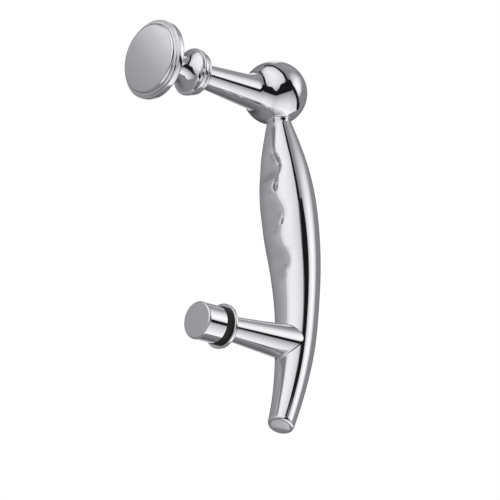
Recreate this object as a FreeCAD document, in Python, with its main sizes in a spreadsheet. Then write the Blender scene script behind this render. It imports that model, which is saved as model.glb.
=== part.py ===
import FreeCAD, Part
import math
import os
import Sketcher

# Shower door handle for a glass door with two holes, one above the other.
# Frame: X runs along the door, Y goes through the glass towards the knob, Z is up.
# The origin lies midway between the two hole axes, on the plane where the flanges seat.

doc = FreeCAD.newDocument("ShowerDoorHandle")
sheet = doc.addObject("Spreadsheet::Sheet", "Sizes")

# Driving dimensions in millimetres; heights are counted from the origin
DIMENSIONS = {
    "HoleSpacing": 145.0,
    # flanges that seat against the glass, and the tapered posts behind them
    "FlangeRadius": 11.85,
    "FlangeThickness": 2.2,
    "FlangeRound": 0.7,
    "PostRootRadius": 6.2,
    "PostMargin": 0.41,
    "PostBlend": 1.2,
    # ball above the grip
    "BallRadius": 17.8,
    "BallSetback": 0.6,
    "BallLift": 4.2,
    "BallPostBlend": 11.0,
    "BallNeckBlend": 1.2,
    # grip, straight from the ball down to the bow and curved towards the door below it
    "GripReach": 61.3,
    "BowTop": -17.0,
    "BowRadius": 231.5,
    "NeckSink": 6.0,
    "NeckRadius": 4.9,
    "ShoulderHeight": 50.0,
    "ShoulderRadius": 8.95,
    "IndexRadius": 13.5,
    "MiddleRadius": 15.25,
    "RingRadius": 13.75,
    "SwellHeight": -48.0,
    "SwellRadius": 12.05,
    "WaistRadius": 10.6,
    "TailHeight": -98.0,
    "TailRadius": 8.55,
    "TipHeight": -121.0,
    "TipRadius": 6.9,
    "TipRound": 1.8,
    # finger scallops on the side of the grip that faces the door
    "ScallopTop": 28.3,
    "ScallopPitch": 27.75,
    "ScallopDepth": 2.2,
    # studs, and the threaded holes that they screw into
    "StudRadius": 3.0,
    "StudBevel": 0.5,
    "ThreadClearance": 0.05,
    "PostHoleDepth": 14.0,
    "KnobHoleDepth": 15.0,
    "CapHoleDepth": 8.0,
    "HoleRunout": 1.0,
    # gaskets
    "GasketBore": 4.0,
    "UpperGasketThickness": 0.8,
    "UpperGasketRadius": 11.0,
    "LowerGasketThickness": 3.9,
    "LowerGasketRadius": 10.15,
    # knob
    "KnobLength": 33.1,
    "BaseRadius": 12.9,
    "BaseThickness": 2.6,
    "BaseRound": 0.9,
    "DishRadius": 11.5,
    "DishRise": 0.4,
    "NeckArc": 12.2,
    "BackRadius": 13.4,
    "BackRise": 0.6,
    "RimRadius": 21.4,
    "RimBack": 7.3,
    "RimFront": 3.5,
    "RimRound": 1.0,
    "StepRadius": 20.3,
    "StepFront": 2.3,
    "StepRound": 0.35,
    "FaceRadius": 19.0,
    "FaceRound": 1.4,
    "FaceDome": 0.6,
    # end cap
    "CapRadius": 9.9,
    "CapLength": 12.75,
    "CapRound": 1.2,
    "CapDome": 0.15,
}

for row, (alias, number) in enumerate(DIMENSIONS.items(), start=1):
    sheet.set(f"A{row}", alias)
    sheet.set(f"B{row}", str(number))
    sheet.setAlias(f"B{row}", alias)
doc.recompute()

# Lengths worked out from the driving dimensions, as expressions over the sheet
UPPER_AXIS = "Sizes.HoleSpacing / 2"
LOWER_AXIS = "-Sizes.HoleSpacing / 2"
BALL_HEIGHT = f"{UPPER_AXIS} + Sizes.BallLift"
NECK_HEIGHT = f"{BALL_HEIGHT} - Sizes.BallRadius + Sizes.NeckSink"
THREAD_RADIUS = "Sizes.StudRadius + Sizes.ThreadClearance"
BALL_REACH = "(Sizes.GripReach - Sizes.BallSetback)"
BOW_TURN = "asin(max(0; Sizes.HoleSpacing / 2 + Sizes.BowTop) / Sizes.BowRadius)"
POST_REACH = f"(Sizes.GripReach - Sizes.BowRadius * (1 - cos({BOW_TURN})))"
POST_TAPER = (
    "(Sizes.WaistRadius - Sizes.PostMargin - Sizes.PostRootRadius)"
    f" / ({POST_REACH} - Sizes.FlangeThickness)"
)
KNOB_BACK = "Sizes.UpperGasketThickness"
KNOB_FACE = f"{KNOB_BACK} + Sizes.KnobLength"
CAP_BACK = "Sizes.LowerGasketThickness"
CAP_FACE = f"{CAP_BACK} + Sizes.CapLength"


def value(expression):
    """Number that an expression over the sheet stands for."""
    return float(sheet.evalExpression(expression))


def arc_middle(start, end, radius, side):
    """Middle of the arc between two points that bulges to the left (1) or right (-1) of the way."""
    chord = end - start
    left = FreeCAD.Vector(-chord.y, chord.x, 0).normalize()
    rise = radius - math.sqrt(radius**2 - (chord.Length / 2) ** 2)
    return (start + end) * 0.5 + left * (side * rise)


def bind(sketch, constraint, name, expression):
    """Add a named constraint whose value follows the sheet."""
    index = sketch.addConstraint(constraint)
    sketch.renameConstraint(index, name)
    sketch.setExpression(f"Constraints.{name}", expression)


def place_point(sketch, side, point, name, axis, expression, number):
    """Fix one coordinate of a corner, on the sketch's axis where it is nought."""
    kind = f"Distance{axis}"
    if expression == "0":
        line = {"X": -2, "Y": -1}[axis]
        sketch.addConstraint(Sketcher.Constraint("PointOnObject", side, point, line))
    else:
        constraint = Sketcher.Constraint(kind, -1, 1, side, point, number)
        bind(sketch, constraint, f"{name}{axis}", expression)


def draw_outline(sketch, corners, arcs):
    """Closed outline through corners given as expressions, with the sides in arcs bent."""
    points = [FreeCAD.Vector(value(x), value(y), 0) for x, y in corners]
    count = len(points)
    ends = []
    for side, start in enumerate(points):
        end = points[(side + 1) % count]
        if side in arcs:
            radius, bulge = arcs[side]
            middle = arc_middle(start, end, value(radius), bulge)
            curve = Part.ArcOfCircle(start, middle, end)
        else:
            curve = Part.LineSegment(start, end)
        sketch.addGeometry(curve)
        forward = curve.StartPoint.distanceToPoint(start) < curve.StartPoint.distanceToPoint(end)
        ends.append((1, 2) if forward else (2, 1))
    for side in range(count):
        after = (side + 1) % count
        joint = Sketcher.Constraint("Coincident", side, ends[side][1], after, ends[after][0])
        sketch.addConstraint(joint)
    for side, (x, y) in enumerate(corners):
        name = f"Corner{side}"
        place_point(sketch, side, ends[side][0], name, "X", x, points[side].x)
        place_point(sketch, side, ends[side][0], name, "Y", y, points[side].y)
    for side, (radius, _) in arcs.items():
        bind(sketch, Sketcher.Constraint("Radius", side, value(radius)), f"Bend{side}", radius)


def revolve(body, name, corners, arcs=None, rise="0"):
    """Turn an outline of (place along Y, radius) corners about a line along Y at a height."""
    sketch = body.newObject("Sketcher::SketchObject", f"{name}Outline")
    plane = next(item for item in body.Origin.OriginFeatures if item.Role == "YZ_Plane")
    sketch.AttachmentSupport = (plane, [""])
    sketch.MapMode = "FlatFace"
    sketch.setExpression("AttachmentOffset.Base.y", rise)
    draw_outline(sketch, corners, arcs or {})
    turning = body.newObject("PartDesign::Revolution", name)
    turning.Profile = (sketch, [""])
    turning.ReferenceAxis = (sketch, ["H_Axis"])
    turning.Angle = 360
    doc.recompute()


def lies_on(edge, belongs, count=7):
    """Whether points spread along an edge all satisfy a test."""
    first, last = edge.ParameterRange
    spread = [first + (last - first) * step / (count - 1) for step in range(count)]
    return all(belongs(edge.valueAt(parameter)) for parameter in spread)


def near(actual, wanted, tolerance=0.01):
    """Whether two lengths agree."""
    return abs(actual - wanted) < tolerance


def round_edges(body, name, radius, belongs):
    """Round the edges of the body whose points satisfy a test."""
    base = body.Tip
    edges = [
        f"Edge{index}"
        for index, edge in enumerate(base.Shape.Edges, start=1)
        if not edge.Degenerated and lies_on(edge, belongs)
    ]
    rounding = body.newObject("PartDesign::Fillet", name)
    rounding.Base = (base, edges)
    rounding.setExpression("Radius", radius)
    doc.recompute()


def ring(radius, place, rise="0"):
    """Test for points on a circle about a post axis, at a place along Y."""
    reach = value(radius)
    level = value(place)
    height = value(rise)

    def belongs(point):
        """Whether a point lies on the circle."""
        return near(math.hypot(point.x, point.z - height), reach) and near(point.y, level)

    return belongs


def turned_body(label, corners, rise, arcs=None):
    """Body of a turned piece whose axis is a post axis."""
    body = doc.addObject("PartDesign::Body", label)
    body.Label = label
    revolve(body, "Turning", corners, arcs)
    body.setExpression("Placement.Base.z", rise)
    return body


# Grip

SECTION_POLES = 16
STATIONS_PER_SCALLOP = 4
FINGERS = ["Index", "Middle", "Ring"]


def finger_height(order):
    """Height of the scallop for a finger, counted from the top one."""
    return value("Sizes.ScallopTop") - order * value("Sizes.ScallopPitch")


def grip_radius_law():
    """Curve of the grip's radius over its drop below the neck, through the named radii."""
    top = value(NECK_HEIGHT)
    stations = [(top, value("Sizes.NeckRadius"))]
    stations.append((value("Sizes.ShoulderHeight"), value("Sizes.ShoulderRadius")))
    for order, finger in enumerate(FINGERS):
        stations.append((finger_height(order), value(f"Sizes.{finger}Radius")))
    stations.append((value("Sizes.SwellHeight"), value("Sizes.SwellRadius")))
    stations.append((value(LOWER_AXIS), value("Sizes.WaistRadius")))
    stations.append((value("Sizes.TailHeight"), value("Sizes.TailRadius")))
    stations.append((value("Sizes.TipHeight"), value("Sizes.TipRadius")))
    drops = [top - height for height, _ in stations]
    points = [FreeCAD.Vector(drop, radius, 0) for drop, (_, radius) in zip(drops, stations)]
    law = Part.BSplineCurve()
    law.interpolate(Points=points, Parameters=drops)
    return law


def grip_heights():
    """Heights of the grip's sections: both ends, and steps in line with the scallops between."""
    top = value(NECK_HEIGHT)
    bottom = value("Sizes.TipHeight")
    step = value("Sizes.ScallopPitch") / STATIONS_PER_SCALLOP
    start = value("Sizes.ScallopTop")
    first = math.floor((start - (top - step / 2)) / step) + 1
    last = math.ceil((start - (bottom + step / 2)) / step) - 1
    return [top] + [start - count * step for count in range(first, last + 1)] + [bottom]


def scallop_depth(height):
    """Depth of the finger scallops at a height, fading to nothing half a pitch from each centre."""
    pitch = value("Sizes.ScallopPitch")
    shares = [(height - finger_height(order)) / pitch for order in range(len(FINGERS))]
    fades = [math.cos(math.pi * share) ** 2 for share in shares if abs(share) < 0.5]
    return value("Sizes.ScallopDepth") * sum(fades)


def spine_lean(height):
    """Angle by which the spine leans towards the door at a height."""
    below = max(0.0, value("Sizes.BowTop") - height)
    return math.asin(below / value("Sizes.BowRadius"))


def spine_reach(height):
    """Place of the spine along Y at a height."""
    return value("Sizes.BowRadius") * (1 - math.cos(spine_lean(height))) - value("Sizes.GripReach")


def grip_section(height, radius):
    """Poles of a round section square to the spine, flattened towards the door by the scallop."""
    lean = spine_lean(height)
    reach = spine_reach(height)
    turn = 2 * math.pi / SECTION_POLES
    swing = radius * 3 / (2 + math.cos(turn))
    flat = radius - scallop_depth(height)
    poles = []
    for order in range(SECTION_POLES):
        angle = math.pi + order * turn
        out = swing * math.cos(angle)
        if flat < radius:
            out = min(out, flat)
        along = FreeCAD.Vector(0, math.cos(lean), math.sin(lean)) * out
        poles.append(FreeCAD.Vector(swing * math.sin(angle), reach, height) + along)
    return poles


def grip_solid():
    """Closed solid of the grip: one smooth skin through the sections, with flat ends."""
    law = grip_radius_law()
    heights = grip_heights()
    drops = [heights[0] - height for height in heights]
    sections = [grip_section(height, law.value(drop).y) for height, drop in zip(heights, drops)]
    poles = []
    for track in zip(*sections):
        curve = Part.BSplineCurve()
        curve.interpolate(Points=list(track), Parameters=drops)
        poles.append(curve.getPoles())
    skin = Part.BSplineSurface()
    skin.buildFromPolesMultsKnots(
        poles,
        [1] * (SECTION_POLES + 1),
        curve.getMultiplicities(),
        [float(knot) for knot in range(SECTION_POLES + 1)],
        curve.getKnots(),
        True,
        False,
        curve.Degree,
        curve.Degree,
    )
    side = skin.toShape()
    ends = [Part.Face(Part.Wire(edge)) for edge in side.Edges if edge.isClosed()]
    shell = Part.Shell([side] + ends)
    shell.sewShape()
    solid = Part.Solid(shell)
    solid.fix(1e-7, 1e-7, 1e-7)
    return solid


def on_tip(point):
    """Whether a point lies on the flat lower end of the grip."""
    lean = spine_lean(value("Sizes.TipHeight"))
    rise = point.z - value("Sizes.TipHeight")
    shift = point.y - spine_reach(value("Sizes.TipHeight"))
    return near(rise * math.cos(lean), shift * math.sin(lean))


def on_ball(point):
    """Whether a point lies on the ball."""
    centre = FreeCAD.Vector(0, -value(BALL_REACH), value(BALL_HEIGHT))
    return near(point.distanceToPoint(centre), value("Sizes.BallRadius"))


def on_post(rise):
    """Test for points where a post runs into the grip or the ball."""
    height = value(rise)
    taper = value(POST_TAPER)
    root = value("Sizes.PostRootRadius")
    start = value("Sizes.FlangeThickness")
    halfway = value(f"{POST_REACH} / 2")

    def belongs(point):
        """Whether a point lies on the tapered side, in its far half."""
        radius = root + (-point.y - start) * taper
        return point.y < -halfway and near(math.hypot(point.x, point.z - height), radius)

    return belongs


def post_corners(length):
    """Outline of a post with its flange and its blind threaded hole."""
    end_radius = f"Sizes.PostRootRadius + ({length} - Sizes.FlangeThickness) * {POST_TAPER}"
    return [
        ("-Sizes.PostHoleDepth", "0"),
        ("-Sizes.PostHoleDepth", THREAD_RADIUS),
        ("0", THREAD_RADIUS),
        ("0", "Sizes.FlangeRadius"),
        ("-Sizes.FlangeThickness", "Sizes.FlangeRadius"),
        ("-Sizes.FlangeThickness", "Sizes.PostRootRadius"),
        (f"-({length})", end_radius),
        (f"-({length})", "0"),
    ]


def build_handle():
    """One casting: grip, ball and two posts, blended where they run into each other."""
    grip = doc.addObject("Part::Feature", "GripForm")
    grip.Shape = grip_solid()
    body = doc.addObject("PartDesign::Body", "handle_body")
    body.Label = "handle_body"
    body.BaseFeature = grip
    doc.recompute()
    round_edges(body, "TipEdge", "Sizes.TipRound", on_tip)

    ball = body.newObject("PartDesign::AdditiveSphere", "Ball")
    ball.setExpression("Radius", "Sizes.BallRadius")
    across = FreeCAD.Vector(1, 0, 0)
    outwards = FreeCAD.Vector(0, -1, 0)
    ball.Placement.Rotation = FreeCAD.Rotation(outwards, across.cross(outwards), across, "ZXY")
    ball.setExpression("Placement.Base.y", f"-{BALL_REACH}")
    ball.setExpression("Placement.Base.z", BALL_HEIGHT)
    doc.recompute()
    round_edges(body, "NeckBlend", "Sizes.BallNeckBlend", on_ball)

    revolve(body, "UpperPost", post_corners(BALL_REACH), rise=UPPER_AXIS)
    round_edges(body, "UpperPostBlend", "Sizes.BallPostBlend", on_post(UPPER_AXIS))
    revolve(body, "LowerPost", post_corners(POST_REACH), rise=LOWER_AXIS)
    round_edges(body, "LowerPostBlend", "Sizes.PostBlend", on_post(LOWER_AXIS))
    for name, rise in (("Upper", UPPER_AXIS), ("Lower", LOWER_AXIS)):
        for side, place in (("Front", "0"), ("Back", "-Sizes.FlangeThickness")):
            edge = ring("Sizes.FlangeRadius", place, rise)
            round_edges(body, f"{name}Flange{side}", "Sizes.FlangeRound", edge)
    return body


def add_dome(body, radius, height, face):
    """Shallow spherical cap on a turned face that ends at a place along Y."""
    curve = f"(({radius} ^ 2 + {height} ^ 2) / (2 * {height}))"
    dome = body.newObject("PartDesign::AdditiveSphere", "Dome")
    dome.setExpression("Radius", curve)
    dome.setExpression("Angle1", f"asin(({curve} - {height}) / {curve})")
    dome.Placement.Rotation = FreeCAD.Rotation(FreeCAD.Vector(1, 0, 0), -90)
    dome.setExpression("Placement.Base.y", f"{face} - {curve}")
    doc.recompute()


def build_knob():
    """Turned knob: base on the glass, spool neck, and a stepped disc with a domed face."""
    base_front = f"{KNOB_BACK} + Sizes.BaseThickness"
    rim_back = f"{KNOB_FACE} - Sizes.RimBack"
    rim_front = f"{KNOB_FACE} - Sizes.RimFront"
    step_front = f"{KNOB_FACE} - Sizes.StepFront"
    face_edge = f"{KNOB_FACE} - Sizes.FaceDome"
    corners = [
        (f"{KNOB_BACK} + Sizes.KnobHoleDepth", "0"),
        (f"{KNOB_BACK} + Sizes.KnobHoleDepth", THREAD_RADIUS),
        (KNOB_BACK, THREAD_RADIUS),
        (KNOB_BACK, "Sizes.BaseRadius"),
        (base_front, "Sizes.BaseRadius"),
        (f"{base_front} + Sizes.DishRise", "Sizes.DishRadius"),
        (f"{rim_back} - Sizes.BackRise", "Sizes.BackRadius"),
        (rim_back, "Sizes.RimRadius"),
        (rim_front, "Sizes.RimRadius"),
        (rim_front, "Sizes.StepRadius"),
        (step_front, "Sizes.StepRadius"),
        (step_front, "Sizes.FaceRadius"),
        (face_edge, "Sizes.FaceRadius"),
        (face_edge, "0"),
    ]
    body = turned_body("pull_knob", corners, UPPER_AXIS, {5: ("Sizes.NeckArc", -1)})
    add_dome(body, "Sizes.FaceRadius", "Sizes.FaceDome", KNOB_FACE)
    roundings = [
        ("BaseBackEdge", "Sizes.BaseRound", "Sizes.BaseRadius", KNOB_BACK),
        ("BaseFrontEdge", "Sizes.BaseRound", "Sizes.BaseRadius", base_front),
        ("RimBackEdge", "Sizes.RimRound", "Sizes.RimRadius", rim_back),
        ("RimFrontEdge", "Sizes.RimRound / 2", "Sizes.RimRadius", rim_front),
        ("StepEdge", "Sizes.StepRound", "Sizes.StepRadius", step_front),
        ("FaceEdge", "Sizes.FaceRound", "Sizes.FaceRadius", face_edge),
    ]
    for name, radius, edge_radius, place in roundings:
        round_edges(body, name, radius, ring(edge_radius, place))
    return body


def build_cap():
    """Plain round cap nut with a slightly domed face."""
    face_edge = f"{CAP_FACE} - Sizes.CapDome"
    corners = [
        (f"{CAP_BACK} + Sizes.CapHoleDepth", "0"),
        (f"{CAP_BACK} + Sizes.CapHoleDepth", THREAD_RADIUS),
        (CAP_BACK, THREAD_RADIUS),
        (CAP_BACK, "Sizes.CapRadius"),
        (face_edge, "Sizes.CapRadius"),
        (face_edge, "0"),
    ]
    body = turned_body("end_cap", corners, LOWER_AXIS)
    add_dome(body, "Sizes.CapRadius", "Sizes.CapDome", CAP_FACE)
    round_edges(body, "FaceEdge", "Sizes.CapRound", ring("Sizes.CapRadius", face_edge))
    return body


def build_stud(label, back, hole_depth, rise):
    """Threaded stud from the post's hole to the hole of the piece that is screwed on."""
    start = "-(Sizes.PostHoleDepth - Sizes.HoleRunout)"
    end = f"{back} + {hole_depth} - Sizes.HoleRunout"
    tip_radius = "Sizes.StudRadius - Sizes.StudBevel"
    corners = [
        (start, "0"),
        (start, tip_radius),
        (f"{start} + Sizes.StudBevel", "Sizes.StudRadius"),
        (f"{end} - Sizes.StudBevel", "Sizes.StudRadius"),
        (end, tip_radius),
        (end, "0"),
    ]
    return turned_body(label, corners, rise)


def build_gasket(label, radius, thickness, rise):
    """Flat rubber ring against the flange of a post."""
    corners = [
        ("0", "Sizes.GasketBore"),
        ("0", radius),
        (thickness, radius),
        (thickness, "Sizes.GasketBore"),
    ]
    return turned_body(label, corners, rise)


pieces = [
    build_handle(),
    build_knob(),
    build_cap(),
    build_stud("upper_stud", KNOB_BACK, "Sizes.KnobHoleDepth", UPPER_AXIS),
    build_stud("lower_stud", CAP_BACK, "Sizes.CapHoleDepth", LOWER_AXIS),
    build_gasket("upper_gasket", "Sizes.UpperGasketRadius", KNOB_BACK, UPPER_AXIS),
    build_gasket("lower_gasket", "Sizes.LowerGasketRadius", CAP_BACK, LOWER_AXIS),
]
doc.recompute()

for item in doc.Objects:
    if "Invalid" in item.State or "Error" in item.State:
        raise RuntimeError(f"{item.Name} failed to build")
for piece in pieces:
    if piece.Shape.isNull() or not piece.Shape.isValid():
        raise RuntimeError(f"{piece.Label} has no valid shape")

os.makedirs("parts", exist_ok=True)
for piece in pieces:
    piece.Shape.exportStep(f"parts/{piece.Label}.step")
    box = piece.Shape.BoundBox
    print(f"{piece.Label}: {piece.Shape.Volume:.1f} mm3, Y {box.YMin:.2f} to {box.YMax:.2f}")
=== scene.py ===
import logging
import math
from collections.abc import Callable
from dataclasses import dataclass
from enum import Enum
from functools import cached_property

import bmesh
import bpy
import numpy as np
from mathutils import Matrix, Vector


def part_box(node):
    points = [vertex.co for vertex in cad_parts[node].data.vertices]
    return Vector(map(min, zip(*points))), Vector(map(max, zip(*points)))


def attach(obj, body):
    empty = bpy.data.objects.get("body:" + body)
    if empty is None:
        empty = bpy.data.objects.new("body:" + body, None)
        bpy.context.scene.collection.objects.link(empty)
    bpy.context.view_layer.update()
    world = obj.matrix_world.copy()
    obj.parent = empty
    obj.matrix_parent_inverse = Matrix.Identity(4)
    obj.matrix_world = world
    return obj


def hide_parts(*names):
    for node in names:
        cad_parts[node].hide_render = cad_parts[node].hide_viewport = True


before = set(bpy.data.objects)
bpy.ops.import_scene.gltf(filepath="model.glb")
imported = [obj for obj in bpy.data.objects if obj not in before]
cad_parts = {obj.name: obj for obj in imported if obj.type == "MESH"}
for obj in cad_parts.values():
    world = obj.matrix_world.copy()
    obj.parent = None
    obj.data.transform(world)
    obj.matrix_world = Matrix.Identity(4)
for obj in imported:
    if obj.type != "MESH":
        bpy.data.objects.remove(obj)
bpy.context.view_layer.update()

MM = 0.001
ROOT = "root"
WHITE = "#FFFFFF"

# Length in millimetres that keeps a division safe
TINY = 1e-6
# Least squared sine of the angle between two skins that are blended
LEAST_SPREAD = 0.02
# A domed face starts this many edge roundings inside its foot
DOME_INSET = 1.2
# Radius in millimetres of a face that is all but flat
FLAT = 1e4

logging.basicConfig(level=logging.INFO, format="%(name)s: %(message)s")
log = logging.getLogger("shower_door_handle")

# A place along an axis with the radius there
Point = tuple[float, float]
# A mirror's normal, as its shares of the picture's right and top
Disc = tuple[float, float]
# Distances from a form's skin, and their gradients
Field = tuple[np.ndarray, np.ndarray]


def linear(code: str) -> tuple[float, float, float, float]:
    """Turn an sRGB hex colour into Blender's linear colour.

    Args:
        code: Six hex digits after a hash sign.

    Returns:
        Red, green, blue and alpha.
    """
    parts = [int(code[place : place + 2], 16) / 255 for place in (1, 3, 5)]
    red, green, blue = (
        part / 12.92 if part <= 0.04045 else ((part + 0.055) / 1.055) ** 2.4 for part in parts
    )
    return red, green, blue, 1.0


def add_node(
    tree: bpy.types.NodeTree,
    kind: str,
    settings: dict[str, object] | None = None,
    inputs: dict[str | int, object] | None = None,
) -> bpy.types.Node:
    """Add a node with its settings, values and links.

    Args:
        tree: The node tree.
        kind: The node's type name.
        settings: Attributes of the node.
        inputs: Values of its input sockets; an output socket is linked.

    Returns:
        The new node.
    """
    node = tree.nodes.new(kind)
    for name, setting in (settings or {}).items():
        setattr(node, name, setting)
    for socket, content in (inputs or {}).items():
        if isinstance(content, bpy.types.NodeSocket):
            tree.links.new(content, node.inputs[socket])
        else:
            node.inputs[socket].default_value = content
    return node


def empty_material(name: str) -> bpy.types.Material:
    """Make a material whose node tree is empty.

    Args:
        name: The material's name.

    Returns:
        The material.
    """
    material = bpy.data.materials.new(name)
    material.use_nodes = True
    material.node_tree.nodes.clear()
    return material


def stand_in(mesh: bpy.types.Mesh, node: str) -> None:
    """Put a finished mesh in the place of a solid.

    Args:
        mesh: The mesh, placed in the frame.
        node: The solid's node.
    """
    piece = bpy.data.objects.new(mesh.name, mesh)
    bpy.context.scene.collection.objects.link(piece)
    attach(piece, ROOT)
    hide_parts(node)
    log.info("%s: %d faces stand for %s", piece.name, len(mesh.polygons), node)


# Finishes


@dataclass(frozen=True)
class PolishedMetal:
    """Polished metal: a mirror with a faint uneven haze, as the buffing wheel leaves it."""

    name: str
    tint: str = "#F0F0F2"
    roughness: float = 0.035
    haze: float = 0.02
    haze_size_mm: float = 6.0

    def material(self) -> bpy.types.Material:
        """Build the material.

        Returns:
            The metal material.
        """
        material = empty_material(self.name)
        tree = material.node_tree
        place = add_node(tree, "ShaderNodeTexCoord")
        cloud = add_node(
            tree,
            "ShaderNodeTexNoise",
            inputs={
                "Vector": place.outputs["Object"],
                "Scale": 1 / (self.haze_size_mm * MM),
                "Detail": 3.0,
                "Roughness": 0.6,
            },
        )
        gloss = add_node(
            tree,
            "ShaderNodeMapRange",
            inputs={
                "Value": cloud.outputs["Fac"],
                "To Min": self.roughness,
                "To Max": self.roughness + self.haze,
            },
        )
        shader = add_node(
            tree,
            "ShaderNodeBsdfPrincipled",
            inputs={
                "Base Color": linear(self.tint),
                "Metallic": 1.0,
                "Roughness": gloss.outputs["Result"],
            },
        )
        add_node(tree, "ShaderNodeOutputMaterial", inputs={"Surface": shader.outputs["BSDF"]})
        return material


@dataclass(frozen=True)
class NitrileRubber:
    """Moulded black rubber: matt, with a fine grain."""

    name: str = "nitrile rubber, moulded black"
    tint: str = "#141416"
    roughness: float = 0.62
    grain_mm: float = 0.5
    grain_depth_mm: float = 0.02

    def material(self) -> bpy.types.Material:
        """Build the material.

        Returns:
            The rubber material.
        """
        material = empty_material(self.name)
        tree = material.node_tree
        place = add_node(tree, "ShaderNodeTexCoord")
        grain = add_node(
            tree,
            "ShaderNodeTexNoise",
            inputs={
                "Vector": place.outputs["Object"],
                "Scale": 1 / (self.grain_mm * MM),
                "Detail": 2.0,
            },
        )
        bump = add_node(
            tree,
            "ShaderNodeBump",
            inputs={"Height": grain.outputs["Fac"], "Distance": self.grain_depth_mm * MM},
        )
        shader = add_node(
            tree,
            "ShaderNodeBsdfPrincipled",
            inputs={
                "Base Color": linear(self.tint),
                "Roughness": self.roughness,
                "Normal": bump.outputs["Normal"],
            },
        )
        add_node(tree, "ShaderNodeOutputMaterial", inputs={"Surface": shader.outputs["BSDF"]})
        return material


# Chrome over a buffed zinc casting: a cold, bright mirror with a trace of haze
CAST_CHROME = PolishedMetal("chrome plate on zinc casting, buffed")
# Chrome over turned metal: the same cold mirror
TURNED_CHROME = PolishedMetal("chrome plate on turned metal")
# Steel with a rolled thread: greyer, with a soft and broken shine
STUD_STEEL = PolishedMetal("bright steel, rolled thread", tint="#B9BABD", roughness=0.22, haze=0.1)
# Moulded rubber: matt black, with a grain drawn coarse enough to show and to catch a little light
GASKET_RUBBER = NitrileRubber()


# Forms that are given by distances from their skins


def keep_nearer(first: Field, second: Field) -> Field:
    """Join two forms, each given by distances from its skin and their gradients.

    Args:
        first: One form.
        second: The other form.

    Returns:
        The joined form.
    """
    nearer = first[0] < second[0]
    return np.where(nearer, first[0], second[0]), np.where(nearer[:, None], first[1], second[1])


def turn_out(form: Field) -> Field:
    """Swap the inside and the outside of a form."""
    return -form[0], -form[1]


def keep_farther(first: Field, second: Field) -> Field:
    """Keep what two forms have in common."""
    return turn_out(keep_nearer(turn_out(first), turn_out(second)))


def blend(first: Field, second: Field, radius: float) -> Field:
    """Join two forms with the hollow that a rolling ball would leave between them.

    Args:
        first: One form.
        second: The other form.
        radius: The ball's radius.

    Returns:
        The joined form.
    """
    lean = np.sum(first[1] * second[1], axis=1)
    spread = np.maximum(1 - lean**2, LEAST_SPREAD)
    rise = first[0] - radius
    run = second[0] - radius
    share = (lean * run - rise) / spread
    other = (lean * rise - run) / spread
    reach = np.sqrt(np.maximum((rise**2 + run**2 - 2 * lean * rise * run) / spread, TINY**2))
    slope = (share[:, None] * first[1] + other[:, None] * second[1]) / reach[:, None]
    rolled = (share > 0) & (other > 0)
    value, gradient = keep_nearer(first, second)
    return np.where(rolled, radius - reach, value), np.where(rolled[:, None], slope, gradient)


def round_off(first: Field, second: Field, radius: float) -> Field:
    """Keep what two forms have in common, with the edge between them rounded."""
    return turn_out(blend(turn_out(first), turn_out(second), radius))


@dataclass(frozen=True)
class SmoothLaw:
    """Smooth curve through stations of place and value, drawn like a bent spline."""

    stations: tuple[tuple[float, float], ...]

    def slopes(self, places: np.ndarray, values: np.ndarray) -> np.ndarray:
        """Find the curve's slope at every station.

        Args:
            places: The stations' places, rising.
            values: The stations' values.

        Returns:
            The slopes.
        """
        gaps = np.diff(places)
        count = len(places)
        system = np.eye(count)
        wanted = np.zeros(count)
        # The ends take the slope of the cubic through the four nearest stations
        for end, near in ((0, slice(0, 4)), (count - 1, slice(count - 4, count))):
            wanted[end] = np.polyval(np.polyder(np.polyfit(places[near], values[near], 3)), places[end])
        # Between the ends the bend runs on unbroken
        for station in range(1, count - 1):
            before, after = gaps[station - 1], gaps[station]
            system[station, station - 1 : station + 2] = 1 / before, 2 / before + 2 / after, 1 / after
            wanted[station] = 3 * (values[station] - values[station - 1]) / before**2
            wanted[station] += 3 * (values[station + 1] - values[station]) / after**2
        return np.linalg.solve(system, wanted)

    def at(self, wanted: np.ndarray) -> np.ndarray:
        """Read the curve.

        Args:
            wanted: Places, held within the first and the last station.

        Returns:
            The curve's values there.
        """
        places, values = np.array(sorted(self.stations)).T
        slopes = self.slopes(places, values)
        held = np.clip(wanted, places[0], places[-1])
        run = np.clip(np.searchsorted(places, held) - 1, 0, len(places) - 2)
        gap = places[run + 1] - places[run]
        part = (held - places[run]) / gap
        rest = 1 - part
        ends = values[run] * (1 + 2 * part) * rest**2 + values[run + 1] * (1 + 2 * rest) * part**2
        return ends + gap * part * rest * (slopes[run] * rest - slopes[run + 1] * part)


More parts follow.
